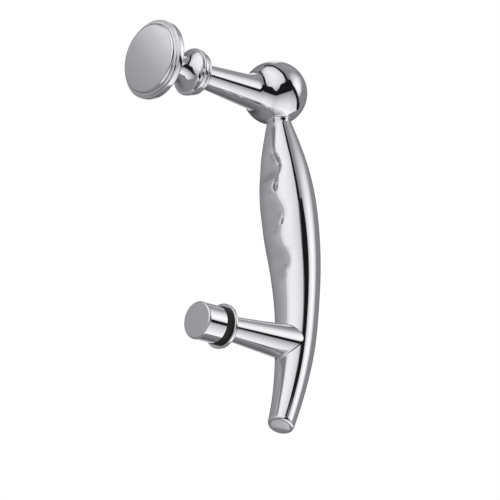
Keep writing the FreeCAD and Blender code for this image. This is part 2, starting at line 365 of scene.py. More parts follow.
@dataclass(frozen=True)
class SurfaceNet:
    """Even net of quads over a form that is given by distances.

    Lengths are in millimetres, and the sharp turn is in degrees.
    """

    low: tuple[float, float, float]
    high: tuple[float, float, float]
    step: float = 0.66
    settling_rounds: int = 6
    splitting_rounds: int = 2
    laying_rounds: int = 2
    sharp_turn: float = 9.0
    slab_rows: int = 24

    def sample(self, form: Callable[[np.ndarray], Field]) -> np.ndarray:
        """Measure a form on an even grid.

        Args:
            form: The form, as a function of points.

        Returns:
            Distances over the grid's three directions.
        """
        lines = [np.arange(low, high, self.step) for low, high in zip(self.low, self.high)]
        slabs = []
        for start in range(0, len(lines[0]), self.slab_rows):
            grid = np.meshgrid(lines[0][start : start + self.slab_rows], lines[1], lines[2], indexing="ij")
            points = np.stack(grid, axis=-1).reshape(-1, 3)
            slabs.append(form(points)[0].reshape(grid[0].shape))
        return np.concatenate(slabs)

    def tie(self, distances: np.ndarray) -> tuple[np.ndarray, np.ndarray]:
        """Tie a first net: a knot in every cell that the skin crosses.

        Args:
            distances: Distances over the grid.

        Returns:
            The knots, and the quads between them with their faces turned outwards.
        """
        inside = distances < 0
        cells = tuple(size - 1 for size in inside.shape)
        filled = np.zeros(cells, dtype=int)
        for shift in np.ndindex(2, 2, 2):
            filled += inside[tuple(slice(place, place + size) for place, size in zip(shift, cells))]
        crossed = (filled > 0) & (filled < 8)
        number = np.full(cells, -1)
        number[crossed] = np.arange(np.count_nonzero(crossed))
        knots = np.array(self.low) + (np.argwhere(crossed) + 0.5) * self.step
        quads = []
        # A quad for each grid edge that pierces the skin, between the knots of the four cells round it
        for axis in range(3):
            second, third = (axis + 1) % 3, (axis + 2) % 3
            starts = np.take(inside, np.arange(cells[axis]), axis=axis)
            ends = np.take(inside, np.arange(1, cells[axis] + 1), axis=axis)
            spots = np.argwhere(starts != ends)
            around = []
            for back_second, back_third in ((1, 1), (0, 1), (0, 0), (1, 0)):
                cell = spots.copy()
                cell[:, second] -= back_second
                cell[:, third] -= back_third
                around.append(number[tuple(cell.T)])
            ring = np.stack(around, axis=1)
            outwards = starts[tuple(spots.T)]
            quads.append(np.where(outwards[:, None], ring, ring[:, ::-1]))
        return knots, np.concatenate(quads)

    def settle(self, knots: np.ndarray, quads: np.ndarray) -> np.ndarray:
        """Move every knot halfway to the middle of its neighbours.

        Args:
            knots: The knots.
            quads: The quads between them.

        Returns:
            The moved knots.
        """
        heads = np.concatenate([quads.ravel(), np.roll(quads, -1, axis=1).ravel()])
        tails = np.concatenate([np.roll(quads, -1, axis=1).ravel(), quads.ravel()])
        count = np.bincount(heads, minlength=len(knots))
        sums = [np.bincount(heads, weights=knots[tails, axis], minlength=len(knots)) for axis in range(3)]
        return (knots + np.stack(sums, axis=1) / count[:, None]) / 2

    def cover(
        self, rough: Callable[[np.ndarray], Field], fine: Callable[[np.ndarray], Field]
    ) -> tuple[np.ndarray, np.ndarray, np.ndarray]:
        """Lay the net over a form.

        Args:
            rough: The form without its small hollows, quick to measure.
            fine: The exact form.

        Returns:
            The knots on the skin, the skin's normals there, and the quads.
        """
        knots, quads = self.tie(self.sample(rough))
        for _ in range(self.settling_rounds):
            knots = self.settle(knots, quads)
            value, gradient = fine(knots)
            knots = knots - value[:, None] * gradient
        value, gradient = fine(knots)
        return knots - value[:, None] * gradient, gradient, quads

    def refine(
        self, mesh: bpy.types.Mesh, normals: np.ndarray, form: Callable[[np.ndarray], Field]
    ) -> np.ndarray:
        """Split the net where the skin turns sharply, and lay the new knots on the skin.

        Args:
            mesh: The net as a mesh, in metres.
            normals: The skin's normals at its knots.
            form: The exact form, in millimetres.

        Returns:
            The normals at all knots.
        """
        net = bmesh.new()
        net.from_mesh(mesh)
        for _ in range(self.splitting_rounds):
            net.verts.index_update()
            ends = np.array([[vertex.index for vertex in edge.verts] for edge in net.edges])
            level = np.sum(normals[ends[:, 0]] * normals[ends[:, 1]], axis=1)
            sharp = np.flatnonzero(level < math.cos(math.radians(self.sharp_turn)))
            net.edges.ensure_lookup_table()
            edges = [net.edges[edge] for edge in sharp]
            bmesh.ops.subdivide_edges(net, edges=edges, cuts=1, use_grid_fill=True)
            knots = np.array([vertex.co for vertex in net.verts]) / MM
            for _ in range(self.laying_rounds):
                value, normals = form(knots)
                knots = knots - value[:, None] * normals
            for vertex, knot in zip(net.verts, knots * MM):
                vertex.co = knot
        net.to_mesh(mesh)
        net.free()
        return form(knots)[1]


# The casting


@dataclass(frozen=True)
class HandleCasting:
    """The casting: bowed grip with finger scallops, ball, and two tapered posts with flanges.

    Lengths are in millimetres.
    """

    node: str = "handle_body"
    slot: str = "handle_chrome"
    hole_spacing: float = 145.0
    flange_radius: float = 11.85
    flange_thickness: float = 2.2
    flange_round: float = 0.7
    hole_radius: float = 3.05
    hole_depth: float = 14.0
    hole_runout: float = 1.0
    post_root: float = 6.2
    post_margin: float = 0.41
    post_blend: float = 1.2
    ball_radius: float = 17.8
    ball_setback: float = 0.6
    ball_lift: float = 4.2
    ball_post_blend: float = 11.0
    ball_neck_blend: float = 1.2
    grip_reach: float = 61.3
    bow_top: float = -17.0
    bow_radius: float = 231.5
    neck_sink: float = 6.0
    neck_radius: float = 4.9
    shoulder: tuple[float, float] = (50.0, 8.95)
    finger_radii: tuple[float, ...] = (13.5, 15.25, 13.75)
    swell: tuple[float, float] = (-48.0, 12.05)
    waist_radius: float = 10.6
    tail: tuple[float, float] = (-98.0, 8.55)
    tip: tuple[float, float] = (-121.0, 6.9)
    tip_round: float = 1.8
    scallop_top: float = 28.3
    scallop_pitch: float = 27.75
    scallop_depth: float = 2.2
    section_poles: int = 16
    aiming_rounds: int = 5
    probe: float = 0.05
    net_margin: float = 2.0

    @property
    def axes(self) -> tuple[float, float]:
        """Heights of the upper and the lower post."""
        return self.hole_spacing / 2, -self.hole_spacing / 2

    @property
    def ball_centre(self) -> np.ndarray:
        """Centre of the ball."""
        return np.array((0.0, self.ball_setback - self.grip_reach, self.axes[0] + self.ball_lift))

    @property
    def neck_height(self) -> float:
        """Height at which the grip ends, inside the ball."""
        return self.ball_centre[2] - self.ball_radius + self.neck_sink

    @property
    def fingers(self) -> list[float]:
        """Heights of the scallops' middles."""
        return [self.scallop_top - order * self.scallop_pitch for order in range(len(self.finger_radii))]

    def lean(self, height: float) -> float:
        """Angle by which the spine leans towards the door at a height."""
        return math.asin(max(0.0, self.bow_top - height) / self.bow_radius)

    def spine_place(self, height: float) -> float:
        """Place of the spine along Y at a height."""
        return self.bow_radius * (1 - math.cos(self.lean(height))) - self.grip_reach

    def radius_law(self) -> SmoothLaw:
        """Draw the curve of the grip's radius over its height.

        Returns:
            The curve.
        """
        stations = (
            (self.neck_height, self.neck_radius),
            self.shoulder,
            *zip(self.fingers, self.finger_radii),
            self.swell,
            (self.axes[1], self.waist_radius),
            self.tail,
            self.tip,
        )
        return SmoothLaw(stations)

    def scallop(self, height: np.ndarray) -> np.ndarray:
        """Depth of the scallops at given heights."""
        shares = [np.clip((height - middle) / self.scallop_pitch, -0.5, 0.5) for middle in self.fingers]
        return self.scallop_depth * sum(np.cos(math.pi * share) ** 2 for share in shares)

    def section(self, turn: np.ndarray, height: np.ndarray) -> tuple[np.ndarray, np.ndarray]:
        """Measure the grip's section, a round spline held back by the scallop towards the door.

        Args:
            turn: Angles from the direction of the door.
            height: Heights on the spine.

        Returns:
            Distances of the skin from the spine, and their slopes over the angle.
        """
        pitch = 2 * math.pi / self.section_poles
        radius = self.radius_law().at(height)
        # The poles stand this far out for the spline to reach the radius
        swing = radius * 3 / (2 + math.cos(pitch))
        held = swing - self.scallop(height) * (1 + (swing - radius) / self.scallop_depth)
        # Move along the spline until it lies in the direction of the angle
        place = turn / pitch
        for _ in range(self.aiming_rounds):
            cell = np.floor(place)
            part = place - cell
            rest = 1 - part
            weights = (
                rest**3 / 6,
                (3 * part**3 - 6 * part**2 + 4) / 6,
                (3 * rest**3 - 6 * rest**2 + 4) / 6,
                part**3 / 6,
            )
            slopes = (
                -(rest**2) / 2,
                (3 * part**2 - 4 * part) / 2,
                (4 * rest - 3 * rest**2) / 2,
                part**2 / 2,
            )
            across, out, across_slope, out_slope = (np.zeros_like(turn) for _ in range(4))
            for order, (weight, slope) in enumerate(zip(weights, slopes), start=-1):
                angle = (cell + order) * pitch
                pole_across = swing * np.sin(angle)
                pole_out = np.minimum(swing * np.cos(angle), held)
                across += weight * pole_across
                out += weight * pole_out
                across_slope += slope * pole_across
                out_slope += slope * pole_out
            miss = across * np.cos(turn) - out * np.sin(turn)
            place = place - miss / (across_slope * np.cos(turn) - out_slope * np.sin(turn))
        size = np.hypot(across, out)
        skew = size * (across * across_slope + out * out_slope) / (out * across_slope - across * out_slope)
        return size, skew

    def skin(self, points: np.ndarray, fine: bool) -> Field:
        """Measure the grip's skin.

        Args:
            points: Where to measure.
            fine: Whether the scallops count.

        Returns:
            Distances and gradients.
        """
        across, place, rise = points.T
        # The spine is straight above the bow's top and a round arc below it
        drop = np.maximum(self.bow_top - rise, 0.0)
        inwards = self.bow_radius - self.grip_reach - place
        arm = np.hypot(inwards, drop)
        sine, cosine = drop / arm, inwards / arm
        height = self.bow_top - self.bow_radius * sine + np.maximum(rise - self.bow_top, 0.0)
        stretch = np.where(drop > 0, self.bow_radius * cosine / arm, 1.0)
        out = self.bow_radius - arm
        reach = np.maximum(np.hypot(across, out), TINY)
        turn = np.arctan2(across, out)
        shifts = (self.probe, -self.probe)
        if fine:
            size, skew = self.section(turn, height)
            above, below = (self.section(turn, height + shift)[0] for shift in shifts)
        else:
            law = self.radius_law()
            size, skew = law.at(height), np.zeros_like(height)
            above, below = (law.at(height + shift) for shift in shifts)
        growth = (above - below) / (2 * self.probe) * stretch
        slope_across = (across - skew * out / reach) / reach
        slope_out = (out + skew * across / reach) / reach
        gradient = np.stack(
            (slope_across, slope_out * cosine + growth * sine, slope_out * sine - growth * cosine), axis=1
        )
        steepness = np.linalg.norm(gradient, axis=1)
        return (reach - size) / steepness, gradient / steepness[:, None]

    def plane(self, points: np.ndarray, origin: tuple[float, ...], normal: tuple[float, ...]) -> Field:
        """Measure the side of a plane that lies against its normal.

        Args:
            points: Where to measure.
            origin: A point of the plane.
            normal: The plane's normal.

        Returns:
            Distances and gradients.
        """
        gradient = np.broadcast_to(np.array(normal), points.shape)
        return (points - np.array(origin)) @ np.array(normal), gradient

    def rod(self, points: np.ndarray, height: float, radius: float, taper: float = 0.0) -> Field:
        """Measure an endless rod along Y that may widen away from the door.

        Args:
            points: Where to measure.
            height: Height of its axis.
            radius: Its radius at the origin.
            taper: Growth of the radius for each millimetre away from the door.

        Returns:
            Distances and gradients.
        """
        side, rise = points[:, 0], points[:, 2] - height
        reach = np.maximum(np.hypot(side, rise), TINY)
        cosine = 1 / math.hypot(1, taper)
        gradient = np.stack((side / reach, np.full_like(reach, taper), rise / reach), axis=1) * cosine
        return (reach - radius + points[:, 1] * taper) * cosine, gradient

    def between(self, points: np.ndarray, form: Field, first: float, last: float) -> Field:
        """Cut a form off square at two places along Y."""
        cut = keep_farther(form, self.plane(points, (0, first, 0), (0, -1, 0)))
        return keep_farther(cut, self.plane(points, (0, last, 0), (0, 1, 0)))

    def join_post(self, points: np.ndarray, body: Field, height: float, end: float, radius: float) -> Field:
        """Blend a post into the form that it ends in.

        Args:
            points: Where to measure.
            body: The form.
            height: Height of the post.
            end: Place along Y where the post ends, inside the form.
            radius: Radius of the blend.

        Returns:
            Distances and gradients of the joined form.
        """
        reach = -self.spine_place(self.axes[1]) - self.flange_thickness
        taper = (self.waist_radius - self.post_margin - self.post_root) / reach
        root = self.post_root - self.flange_thickness * taper
        post = self.between(points, self.rod(points, height, root, taper), end, 0.0)
        value, gradient = blend(body, post, radius)
        # Past its end the post adds nothing
        beyond = points[:, 1] < end
        return np.where(beyond, body[0], value), np.where(beyond[:, None], body[1], gradient)

    def form(self, points: np.ndarray, fine: bool = True) -> Field:
        """Measure the whole casting.

        Args:
            points: Where to measure.
            fine: Whether the scallops count.

        Returns:
            Distances and gradients.
        """
        low, lean = self.tip[0], self.lean(self.tip[0])
        tip_normal = (0.0, math.sin(lean), -math.cos(lean))
        tip_plane = self.plane(points, (0, self.spine_place(low), low), tip_normal)
        grip = round_off(self.skin(points, fine), tip_plane, self.tip_round)
        grip = keep_farther(grip, self.plane(points, (0, 0, self.neck_height), (0, 0, 1)))
        offset = points - self.ball_centre
        distance = np.maximum(np.linalg.norm(offset, axis=1), TINY)
        ball = distance - self.ball_radius, offset / distance[:, None]
        ball = self.join_post(points, ball, self.axes[0], self.ball_centre[1], self.ball_post_blend)
        body = blend(grip, ball, self.ball_neck_blend)
        body = self.join_post(points, body, self.axes[1], self.spine_place(self.axes[1]), self.post_blend)
        for height in self.axes:
            disc = self.rod(points, height, self.flange_radius)
            for place, side in ((-self.flange_thickness, -1), (0.0, 1)):
                disc = round_off(disc, self.plane(points, (0, place, 0), (0, side, 0)), self.flange_round)
            body = keep_nearer(body, disc)
            hole = self.rod(points, height, self.hole_radius)
            hole = self.between(points, hole, -self.hole_depth, self.hole_runout)
            body = keep_farther(body, turn_out(hole))
        return body

    def build(self, finish: bpy.types.Material) -> None:
        """Make the casting and put it in the place of its solid.

        Args:
            finish: Its material.
        """
        low, high = (np.array(end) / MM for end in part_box(self.node))
        net = SurfaceNet(tuple(low - self.net_margin), tuple(high + self.net_margin))
        knots, normals, quads = net.cover(lambda points: self.form(points, fine=False), self.form)
        mesh = bpy.data.meshes.new("handle_casting")
        mesh.from_pydata((knots * MM).tolist(), [], quads.tolist(), shade_flat=False)
        normals = net.refine(mesh, normals, self.form)
        mesh.normals_split_custom_set_from_vertices(normals.tolist())
        mesh.materials.append(finish)
        stand_in(mesh, self.node)


# Turned pieces


@dataclass(frozen=True)
class Stretch:
    """Part of a turned outline: a corner, rounded or not, or a run of points on a curve.

    A point is a place along the axis and a radius, in millimetres.
    """

    points: tuple[Point, ...]
    rounding: float = 0.0
    thread: float = 0.0


def corner(along: float, radius: float, rounding: float = 0.0) -> Stretch:
    """Make a corner of a turned outline."""
    return Stretch(((along, radius),), rounding)


def hollow(start: Point, end: Point, radius: float, steps: int = 40) -> Stretch:
    """Make an arc that bends towards the axis between two points.

    Args:
        start: Where the arc starts.
        end: Where it ends, further along the axis.
        radius: Its radius.
        steps: How many chords it is drawn with.

    Returns:
        The arc.
    """
    first, last = Vector(start), Vector(end)
    chord = last - first
    rise = math.sqrt(radius**2 - chord.length_squared / 4)
    centre = (first + last) / 2 + Vector((-chord.y, chord.x)).normalized() * rise
    begin = math.atan2(first.y - centre.y, first.x - centre.x)
    sweep = math.remainder(math.atan2(last.y - centre.y, last.x - centre.x) - begin, 2 * math.pi)
    angles = [begin + sweep * step / steps for step in range(steps + 1)]
    return Stretch(
        tuple(
            (centre.x + radius * math.cos(angle), centre.y + radius * math.sin(angle))
            for angle in angles
        )
    )


def dome(top: float, rise: float, radius: float, rounding: float, steps: int = 20) -> Stretch:
    """Make the shallow arc of a domed face, from inside its rounded edge to the axis.

    Args:
        top: Place of the dome's top along the axis.
        rise: The dome's height.
        radius: Radius at its foot.
        rounding: Radius of the rounded edge round it.
        steps: How many chords it is drawn with.

    Returns:
        The arc.
    """
    curve = (radius**2 + rise**2) / (2 * rise)
    start = radius - DOME_INSET * rounding
    radii = [start * (1 - step / steps) for step in range(steps + 1)]
    return Stretch(tuple((top - curve + math.sqrt(curve**2 - reach**2), reach) for reach in radii))


def crown(first: float, last: float, radius: float, drop: float, steps: int = 10) -> Stretch:
    """Make a faintly barrelled run between two places along the axis.

    Args:
        first: Where the run starts.
        last: Where it ends.
        radius: Radius at its middle.
        drop: How much smaller the radius is at its ends.
        steps: How many chords it is drawn with.

    Returns:
        The run.
    """
    middle, half = (first + last) / 2, (last - first) / 2
    shares = [2 * step / steps - 1 for step in range(steps + 1)]
    return Stretch(tuple((middle + half * share, radius - drop * share**2) for share in shares))


@dataclass(frozen=True)
class Lathe:
    """Geometry nodes that turn an outline about an axis along Y and may cut a thread on it.

    Lengths are in millimetres.
    """

    segments: int = 192
    arc_steps: int = 7
    edge_strip: float = 0.06
    flat_run: float = 0.24
    thread_pitch: float = 1.0
    merge_gap: float = 0.001

    def soften(self, outline: list[Stretch]) -> list[Stretch]:
        """Turn rounded corners into arcs.

        Args:
            outline: The outline's stretches.

        Returns:
            The stretches, with no roundings left.
        """
        soft = []
        for order, stretch in enumerate(outline):
            if not stretch.rounding:
                soft.append(stretch)
                continue
            spot = Vector(stretch.points[0])
            back = (Vector(outline[order - 1].points[-1]) - spot).normalized()
            ahead = (Vector(outline[order + 1].points[0]) - spot).normalized()
            half = back.angle(ahead) / 2
            centre = spot + (back + ahead).normalized() * (stretch.rounding / math.sin(half))
            start = spot + back * (stretch.rounding / math.tan(half)) - centre
            end = spot + ahead * (stretch.rounding / math.tan(half)) - centre
            sweep = start.angle(end)
            shares = [step / self.arc_steps for step in range(self.arc_steps + 1)]
            arms = [
                start * math.sin(sweep * (1 - share)) + end * math.sin(sweep * share) for share in shares
            ]
            soft.append(Stretch(tuple((centre + arm / math.sin(sweep)).to_tuple() for arm in arms)))
        return soft

    def rings(self, outline: list[Stretch]) -> list[tuple[float, float, float]]:
        """List the outline's rings, with two more near the ends of each straight run to keep it flat.

        Args:
            outline: The outline's stretches.

        Returns:
            Thread depth, place along the axis and radius of each ring.
        """
        rings = []
        for stretch in self.soften(outline):
            first = Vector((stretch.thread, *stretch.points[0]))
            if rings:
                last = Vector(rings[-1])
                run = (first - last).length
                if run > self.flat_run:
                    share = self.edge_strip / run
                    rings += [last.lerp(first, part).to_tuple() for part in (share, 1 - share)]
            rings += [(stretch.thread, *point) for point in stretch.points]
        return rings

    @cached_property
    def tree(self) -> bpy.types.NodeTree:
        """Build the node tree, once for all pieces.

        Returns:
            The tree, with the outline, the segments, the axis height, the pitch and the finish as inputs.
        """
        tree = bpy.data.node_groups.new("lathe", "GeometryNodeTree")
        sockets = {
            "Outline": "NodeSocketGeometry",
            "Segments": "NodeSocketInt",
            "Axis Height": "NodeSocketFloat",
            "Thread Pitch": "NodeSocketFloat",
            "Finish": "NodeSocketMaterial",
        }
        for name, kind in sockets.items():
            tree.interface.new_socket(name, in_out="INPUT", socket_type=kind)
        tree.interface.new_socket("Piece", in_out="OUTPUT", socket_type="NodeSocketGeometry")

        source = add_node(tree, "NodeGroupInput").outputs
        place = add_node(tree, "GeometryNodeInputPosition").outputs["Position"]
        ring = add_node(
            tree,
            "GeometryNodeSampleIndex",
            {"data_type": "FLOAT_VECTOR", "domain": "POINT"},
            {"Geometry": source["Outline"], "Value": place},
        )
        parts = add_node(tree, "ShaderNodeSeparateXYZ", inputs={"Vector": ring.outputs["Value"]}).outputs
        known = {
            "index": add_node(tree, "GeometryNodeInputIndex").outputs["Index"],
            "segments": source["Segments"],
            "axis": source["Axis Height"],
            "pitch": source["Thread Pitch"],
            "depth": parts["X"],
            "along": parts["Y"],
            "crest": parts["Z"],
        }
        # Each sum takes terms that are known by then, or plain numbers
        sums = (
            ("columns", "ADD", "segments", 1.0),
            ("rows", "DIVIDE", "index", "columns"),
            ("row", "FLOOR", "rows"),
            ("column", "MODULO", "index", "columns"),
            ("turn", "DIVIDE", "column", "segments"),
            ("pitches", "DIVIDE", "along", "pitch"),
            ("winding", "SUBTRACT", "pitches", "turn"),
            ("flank", "PINGPONG", "winding", 0.5),
            ("share", "MULTIPLY", "flank", 2.0),
            ("groove", "MULTIPLY", "share", "depth"),
            ("radius", "SUBTRACT", "crest", "groove"),
            ("angle", "MULTIPLY", "turn", 2 * math.pi),
            ("cosine", "COSINE", "angle"),
            ("sine", "SINE", "angle"),
            ("side", "MULTIPLY", "radius", "cosine"),
            ("rise", "MULTIPLY", "radius", "sine"),
            ("height", "ADD", "rise", "axis"),
        )
        for name, operation, *terms in sums:
            values = {order: known.get(term, term) for order, term in enumerate(terms)}
            known[name] = add_node(tree, "ShaderNodeMath", {"operation": operation}, values).outputs[0]
        tree.links.new(known["row"], ring.inputs["Index"])
        size = add_node(tree, "GeometryNodeAttributeDomainSize", inputs={"Geometry": source["Outline"]})
        grid = add_node(
            tree,
            "GeometryNodeMeshGrid",
            inputs={"Vertices X": size.outputs["Point Count"], "Vertices Y": known["columns"]},
        )
        place = add_node(
            tree,
            "ShaderNodeCombineXYZ",
            inputs={"X": known["side"], "Y": known["along"], "Z": known["height"]},
        )
        turned = add_node(
            tree,
            "GeometryNodeSetPosition",
            inputs={"Geometry": grid.outputs["Mesh"], "Position": place.outputs["Vector"]},
        )
        closed = add_node(
            tree,
            "GeometryNodeMergeByDistance",
            inputs={"Geometry": turned.outputs["Geometry"], "Distance": self.merge_gap * MM},
        )
        piece = closed.outputs["Geometry"]
        for kind in ("GeometryNodeSetShadeSmooth", "GeometryNodeRealizeInstances"):
            piece = add_node(tree, kind, inputs={"Geometry": piece}).outputs["Geometry"]
        finish = {"Geometry": piece, "Material": source["Finish"]}
        dressed = add_node(tree, "GeometryNodeSetMaterial", inputs=finish)
        add_node(tree, "NodeGroupOutput", inputs={"Piece": dressed.outputs["Geometry"]})
        return tree

    def turn(
        self, name: str, outline: list[Stretch], height: float, finish: bpy.types.Material
    ) -> bpy.types.Mesh:
        """Turn a piece.

        Args:
            name: Name of the new mesh.
            outline: Its outline.
            height: Height of its axis, in millimetres.
            finish: Its material.

        Returns:
            The finished mesh.
        """
        drawing = bpy.data.meshes.new(f"{name}_outline")
        drawing.from_pydata([[part * MM for part in ring] for ring in self.rings(outline)], [], [])
        blank = bpy.data.objects.new(f"{name}_blank", drawing)
        bpy.context.scene.collection.objects.link(blank)
        modifier = blank.modifiers.new("lathe", "NODES")
        modifier.node_group = self.tree
        settings = {
            "Segments": self.segments,
            "Axis Height": height * MM,
            "Thread Pitch": self.thread_pitch * MM,
            "Finish": finish,
        }
        for socket in modifier.node_group.interface.items_tree:
            if socket.name in settings:
                modifier[socket.identifier] = settings[socket.name]
        seen = blank.evaluated_get(bpy.context.evaluated_depsgraph_get())
        mesh = bpy.data.meshes.new_from_object(seen)
        mesh.name = name
        bpy.data.objects.remove(blank)
        return mesh


@dataclass(frozen=True)
class TurnedPiece:
    """Piece turned about a post axis; lengths are in millimetres."""

    node: str
    slot: str
    height: float

    def outline(self) -> list[Stretch]:
        """Draw the stretches of the outline, as each kind of piece does."""
        raise NotImplementedError

    def build(self, lathe: Lathe, finish: bpy.types.Material) -> None:
        """Turn the piece and put it in the place of its solid.

        Args:
            lathe: The lathe.
            finish: Its material.
        """
        mesh = lathe.turn(f"{self.node}_turned", self.outline(), self.height, finish)
        stand_in(mesh, self.node)


@dataclass(frozen=True)
class PullKnob(TurnedPiece):
    """Knob with a round base, a spool neck and a stepped disc with a domed face."""

    back: float = 0.8
    length: float = 33.1
    hole: Point = (15.0, 3.05)
    base: Point = (2.6, 12.9)
    base_round: float = 0.9
    dish: Point = (0.4, 11.5)
    neck_arc: float = 12.2
    shoulder: Point = (0.6, 13.4)
    rim_back: float = 7.3
    rim: Point = (3.5, 21.4)
    rim_round: float = 1.0
    rim_crown: float = 0.12
    rim_sag: float = 0.04
    step: Point = (2.3, 20.3)
    step_round: float = 0.35
    face: Point = (0.6, 19.0)
    face_round: float = 1.4

    def outline(self) -> list[Stretch]:
        """Draw the outline, from the hole to the face.

        Returns:
            Its stretches.
        """
        front = self.back + self.length
        base_front = self.back + self.base[0]
        rim_back, rim_front = front - self.rim_back, front - self.rim[0]
        dish = (base_front + self.dish[0], self.dish[1])
        shoulder = (rim_back - self.shoulder[0], self.shoulder[1])
        return [
            corner(self.back + self.hole[0], 0.0),
            corner(self.back + self.hole[0], self.hole[1]),
            corner(self.back, self.hole[1]),
            corner(self.back, self.base[1], self.base_round),
            corner(base_front, self.base[1], self.base_round),
            hollow(dish, shoulder, self.neck_arc),
            corner(rim_back, self.rim[1] - self.rim_crown, self.rim_round),
            crown(rim_back + self.rim_round, rim_front - self.rim_round / 2, self.rim[1], self.rim_sag),
            corner(rim_front, self.rim[1] - self.rim_crown, self.rim_round / 2),
            corner(rim_front, self.step[1]),
            corner(front - self.step[0], self.step[1], self.step_round),
            corner(front - self.step[0], self.face[1]),
            corner(front - self.face[0], self.face[1], self.face_round),
            dome(front, *self.face, self.face_round),
        ]


@dataclass(frozen=True)
class EndCap(TurnedPiece):
    """Plain round cap nut with a slightly domed face."""

    back: float = 3.9
    length: float = 12.75
    hole: Point = (8.0, 3.05)
    face: Point = (0.15, 9.9)
    face_round: float = 1.2

    def outline(self) -> list[Stretch]:
        """Draw the outline, from the hole to the face.

        Returns:
            Its stretches.
        """
        front = self.back + self.length
        return [
            corner(self.back + self.hole[0], 0.0),
            corner(self.back + self.hole[0], self.hole[1]),
            corner(self.back, self.hole[1]),
            corner(self.back, self.face[1]),
            corner(front - self.face[0], self.face[1], self.face_round),
            dome(front, *self.face, self.face_round),
        ]


@dataclass(frozen=True)
class Gasket(TurnedPiece):
    """Flat rubber ring with slightly rounded outer edges."""

    thickness: float = 0.8
    radius: float = 11.0
    bore: float = 4.0
    edge_round: float = 0.2

    def outline(self) -> list[Stretch]:
        """Draw the outline, from the bore round to the bore.

        Returns:
            Its stretches.
        """
        return [
            corner(self.thickness, self.bore),
            corner(0.0, self.bore),
            corner(0.0, self.radius, self.edge_round),
            corner(self.thickness, self.radius, self.edge_round),
            corner(self.thickness, self.bore),
        ]


@dataclass(frozen=True)
class Stud(TurnedPiece):
    """Stud with a thread from end to end."""

    start: float = -13.0
    end: float = 14.8
    radius: float = 3.0
    bevel: float = 0.5
    thread_depth: float = 0.54
    ring_gap: float = 0.125

    def outline(self) -> list[Stretch]:
        """Draw the outline, from one end to the other.

        Returns:
            Its stretches.
        """
        first, last = self.start + self.bevel, self.end - self.bevel
        count = round((last - first) / self.ring_gap)
        shank = tuple((first + (last - first) * ring / count, self.radius) for ring in range(count + 1))
        return [
            corner(self.start, 0.0),
            corner(self.start, self.radius - self.bevel),
            Stretch(shank, thread=self.thread_depth),
            corner(self.end, self.radius - self.bevel),
            corner(self.end, 0.0),
        ]


# Camera and studio


@dataclass(frozen=True)
class ProductCamera:
    """Camera of a product shot, placed round a point on the handle.

    Lengths are in metres where their names don't say otherwise, and angles are in degrees.
    """

    target: tuple[float, float, float] = (0.00492, -0.03331, -0.02079)
    distance: float = 1.6
    azimuth: float = 223.75
    elevation: float = -22.78
    roll: float = -6.11
    lens_mm: float = 218.17
    sensor_mm: float = 36.0
    nearest: float = 0.05
    farthest: float = 50.0

    def axes(self) -> tuple[Vector, Vector, Vector]:
        """Work out the camera's axes.

        Returns:
            Unit vectors to the picture's right, to its top, and back to the camera.
        """
        turn = math.radians(self.azimuth)
        rise = math.radians(self.elevation)
        back = Vector(
            (
                math.sin(turn) * math.cos(rise),
                -math.cos(turn) * math.cos(rise),
                math.sin(rise),
            )
        )
        level = Vector((math.cos(turn), math.sin(turn), 0.0))
        upright = back.cross(level)
        tilt = math.radians(self.roll)
        right = level * math.cos(tilt) + upright * math.sin(tilt)
        return right, back.cross(right), back

    def reflected(self, spot: Disc) -> Vector:
        """Find where a polished point sends the camera's sight line.

        Args:
            spot: The point's normal, as its shares of the picture's right and top.

        Returns:
            Unit vector of the reflected sight line.
        """
        right, top, back = self.axes()
        across, up = spot
        facing = math.sqrt(max(0.0, 1 - across * across - up * up))
        normal = right * across + top * up + back * facing
        return normal * (2 * facing) - back

    def build(self) -> None:
        """Make the camera and use it for the scene."""
        right, top, back = self.axes()
        data = bpy.data.cameras.new("product_camera")
        data.lens = self.lens_mm
        data.sensor_width = self.sensor_mm
        data.clip_start = self.nearest
        data.clip_end = self.farthest
        camera = bpy.data.objects.new("product_camera", data)
        place = Vector(self.target) + back * self.distance
        camera.matrix_world = Matrix.Translation(place) @ Matrix((right, top, back)).transposed().to_4x4()
        bpy.context.scene.collection.objects.link(camera)
        bpy.context.scene.camera = camera


class Layer(Enum):
    """Distance of the studio's cards from the handle, in metres."""

    TENT = 4.0
    WALL = 3.8
    PANEL = 3.6
    FLAG = 3.2


@dataclass(frozen=True)
class Card:
    """Studio card between two rails, each rail drawn where the handle's mirror shows it.

    Its tones run from the first rail to the second, and its fades from the rails' start to their end.
    """

    name: str
    layer: Layer
    first_rail: tuple[Disc, ...]
    second_rail: tuple[Disc, ...]
    tones: tuple[float, ...]
    fades: tuple[float, ...] = (1.0, 1.0)


# Tones of a flag of black cloth
BLACK_CLOTH = (0.012, 0.012)

